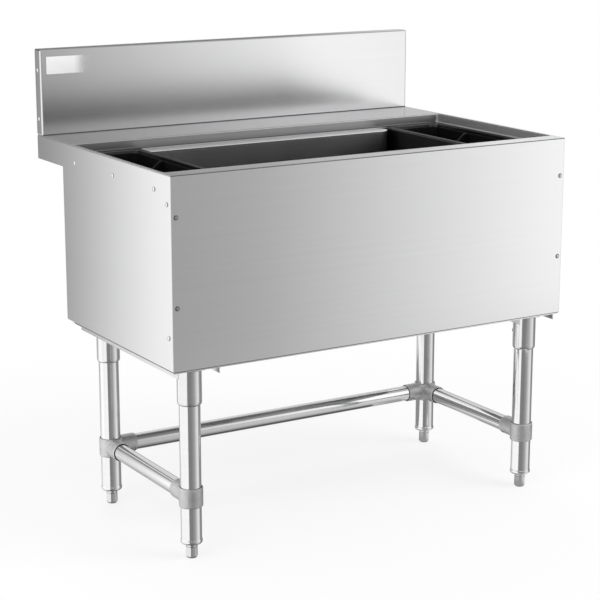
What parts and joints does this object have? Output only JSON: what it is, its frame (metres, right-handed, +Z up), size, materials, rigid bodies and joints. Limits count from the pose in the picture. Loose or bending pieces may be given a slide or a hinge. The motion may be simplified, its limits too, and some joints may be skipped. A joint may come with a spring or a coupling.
{
  "type": "underbar ice bin",
  "caption": "Stainless underbar ice bin: insulated tub between two black bottle wells, low backsplash, braced round legs with screw feet.",
  "frame": {"origin": "floor level under the middle of the overall box", "axes": "+X to the right seen from the front, +Y to the back wall, +Z up"},
  "size_m": [0.9196, 0.6114, 0.9398],
  "materials": {
    "stainless_sheet": "fine satin stainless, grain along the length",
    "tube_steel": "bright polished stainless tube",
    "screw_steel": "plain bright screw",
    "drain_steel": "machined drain fitting",
    "cast_aluminium": "matte tumbled casting",
    "black_plastic": "vacuum-formed black plastic",
    "foam": "rigid insulation foam",
    "label_film": "blank light film"
  },
  "bodies": {
    "cabinet": {"front_panel": "stainless_sheet", "left_side_panel": "stainless_sheet", "right_side_panel": "stainless_sheet", "back_panel": "stainless_sheet", "bottom_cover": "stainless_sheet", "top_pan": "stainless_sheet", "backsplash": "stainless_sheet", "label_plate": "label_film", "ice_tub": "stainless_sheet", "line_chase": "stainless_sheet", "insulation_jacket": "foam", "drain_fitting": "drain_steel", "drain_nut": "drain_steel", "left_corner_post": "stainless_sheet", "right_corner_post": "stainless_sheet", "left_well_shelf": "stainless_sheet", "right_well_shelf": "stainless_sheet", "left_leg_channel": "stainless_sheet", "right_leg_channel": "stainless_sheet", "left_brace": "tube_steel", "right_brace": "tube_steel", "rear_brace": "tube_steel", "front_left_leg_socket": "cast_aluminium", "front_left_socket_screw": "screw_steel", "front_left_leg_tube": "tube_steel", "front_left_brace_clamp": "cast_aluminium", "front_right_leg_socket": "cast_aluminium", "front_right_socket_screw": "screw_steel", "front_right_leg_tube": "tube_steel", "front_right_brace_clamp": "cast_aluminium", "rear_left_leg_socket": "cast_aluminium", "rear_left_socket_screw": "screw_steel", "rear_left_leg_tube": "tube_steel", "rear_left_brace_clamp": "cast_aluminium", "rear_right_leg_socket": "cast_aluminium", "rear_right_socket_screw": "screw_steel", "rear_right_leg_tube": "tube_steel", "rear_right_brace_clamp": "cast_aluminium", "left_side_screw_1": "screw_steel", "left_side_screw_2": "screw_steel", "left_side_screw_3": "screw_steel", "left_side_screw_4": "screw_steel", "left_side_screw_5": "screw_steel", "right_side_screw_1": "screw_steel", "right_side_screw_2": "screw_steel", "right_side_screw_3": "screw_steel", "right_side_screw_4": "screw_steel", "right_side_screw_5": "screw_steel", "front_screw_1": "screw_steel", "front_screw_2": "screw_steel", "front_screw_3": "screw_steel", "front_screw_4": "screw_steel"},
    "left_well": {"left_bottle_well": "black_plastic"},
    "right_well": {"right_bottle_well": "black_plastic"},
    "front_left_foot": {"front_left_foot": "tube_steel"},
    "front_right_foot": {"front_right_foot": "tube_steel"},
    "rear_left_foot": {"rear_left_foot": "tube_steel"},
    "rear_right_foot": {"rear_right_foot": "tube_steel"}
  },
  "joints": [
    {"name": "left_well_lift", "type": "slide", "parent": "cabinet", "child": "left_well", "axis": [0, 0, 1], "range_m": [0, 0.26]},
    {"name": "right_well_lift", "type": "slide", "parent": "cabinet", "child": "right_well", "axis": [0, 0, 1], "range_m": [0, 0.26]},
    {"name": "front_left_foot_screw", "type": "slide", "parent": "cabinet", "child": "front_left_foot", "axis": [0, 0, -1], "range_m": [0, 0.025]},
    {"name": "front_right_foot_screw", "type": "slide", "parent": "cabinet", "child": "front_right_foot", "axis": [0, 0, -1], "range_m": [0, 0.025]},
    {"name": "rear_left_foot_screw", "type": "slide", "parent": "cabinet", "child": "rear_left_foot", "axis": [0, 0, -1], "range_m": [0, 0.025]},
    {"name": "rear_right_foot_screw", "type": "slide", "parent": "cabinet", "child": "rear_right_foot", "axis": [0, 0, -1], "range_m": [0, 0.025]}
  ]
}
